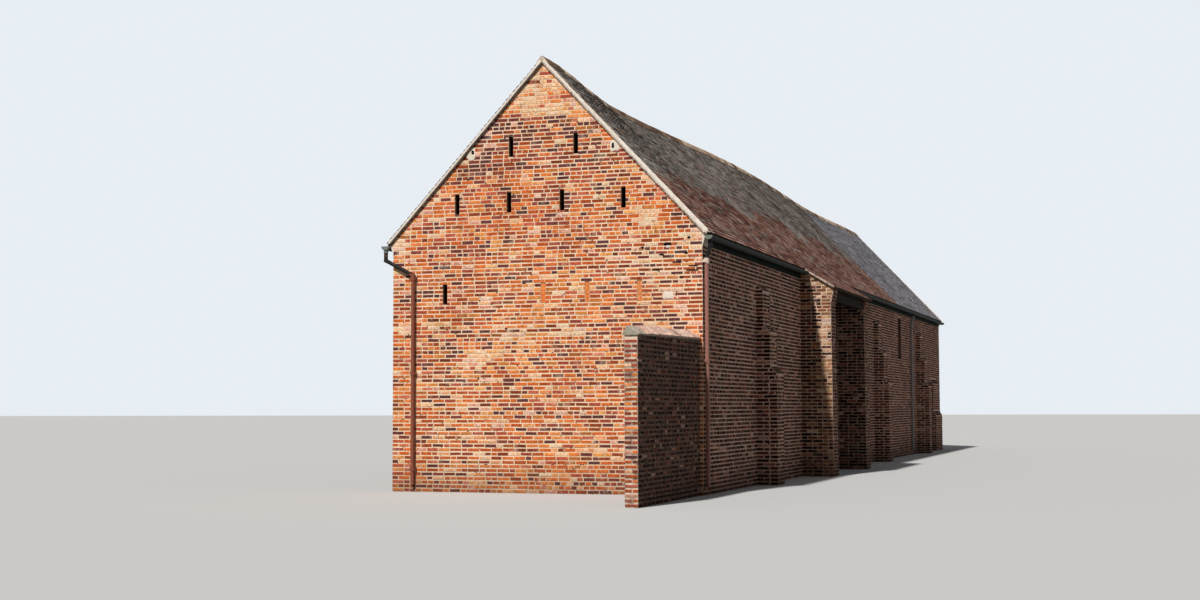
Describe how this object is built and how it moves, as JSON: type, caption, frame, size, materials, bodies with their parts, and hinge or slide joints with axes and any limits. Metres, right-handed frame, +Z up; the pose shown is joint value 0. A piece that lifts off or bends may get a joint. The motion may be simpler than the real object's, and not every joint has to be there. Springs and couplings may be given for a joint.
{
  "type": "brick threshing barn",
  "caption": "Long brick barn with steep tiled roof, ventilation slits, stepped buttresses and recessed cart porches.",
  "frame": {"origin": "middle of the barn's plan at ground level, on the underside of the floor", "axes": "+Y along the barn from the front gable to the rear one, +X towards the road side, +Z up"},
  "size_m": [7.68, 37.835, 8.13],
  "materials": {
    "wall_brick": "old handmade brick in wide lime joints",
    "floor_brick": "worn brick on edge",
    "roof_tile": "weathered plain clay tiles with lichen",
    "ridge_tile": "pale mortared clay ridge tiles",
    "coping_tile": "weathered clay coping tiles",
    "lime_mortar": "rough lime mortar",
    "oak": "old grey-brown oak",
    "door_boards": "dark weathered boards",
    "red_boards": "flaking dark red paint",
    "pipe_iron": "old painted cast iron"
  },
  "bodies": {
    "root": {"floor": "floor_brick", "front_gable": "wall_brick", "rear_gable": "wall_brick", "road_wall_near": "wall_brick", "road_wall_far": "wall_brick", "road_wall_head": "wall_brick", "road_lintel": "oak", "yard_wall_near": "wall_brick", "yard_wall_far": "wall_brick", "yard_wall_head": "wall_brick", "yard_lintel": "oak", "road_porch_cheeks": "wall_brick", "road_porch_beam": "oak", "road_porch_roof": "roof_tile", "yard_porch_cheeks": "wall_brick", "yard_porch_beam": "oak", "yard_porch_roof": "roof_tile", "road_buttresses": "wall_brick", "yard_buttresses": "wall_brick", "road_roof_slope": "roof_tile", "yard_roof_slope": "roof_tile", "ridge_tiles": "ridge_tile", "front_verge": "lime_mortar", "rear_verge": "lime_mortar", "kneelers": "lime_mortar", "wall_plates": "oak", "purlins": "oak", "tie_beams": "oak", "principal_rafters": "oak", "collars": "oak", "road_door_frame": "oak", "road_cart_doors": "door_boards", "yard_door_frame": "oak", "yard_cart_doors": "door_boards", "road_hatch_frame": "oak", "road_hatch_shutter": "red_boards", "yard_hatch_frame": "oak", "yard_hatch_shutter": "red_boards", "road_gutters": "pipe_iron", "yard_gutters": "pipe_iron", "road_downpipes": "pipe_iron", "yard_downpipe": "pipe_iron", "gable_downpipe": "pipe_iron", "stub_wall": "wall_brick", "stub_coping": "coping_tile"}
  },
  "joints": []
}
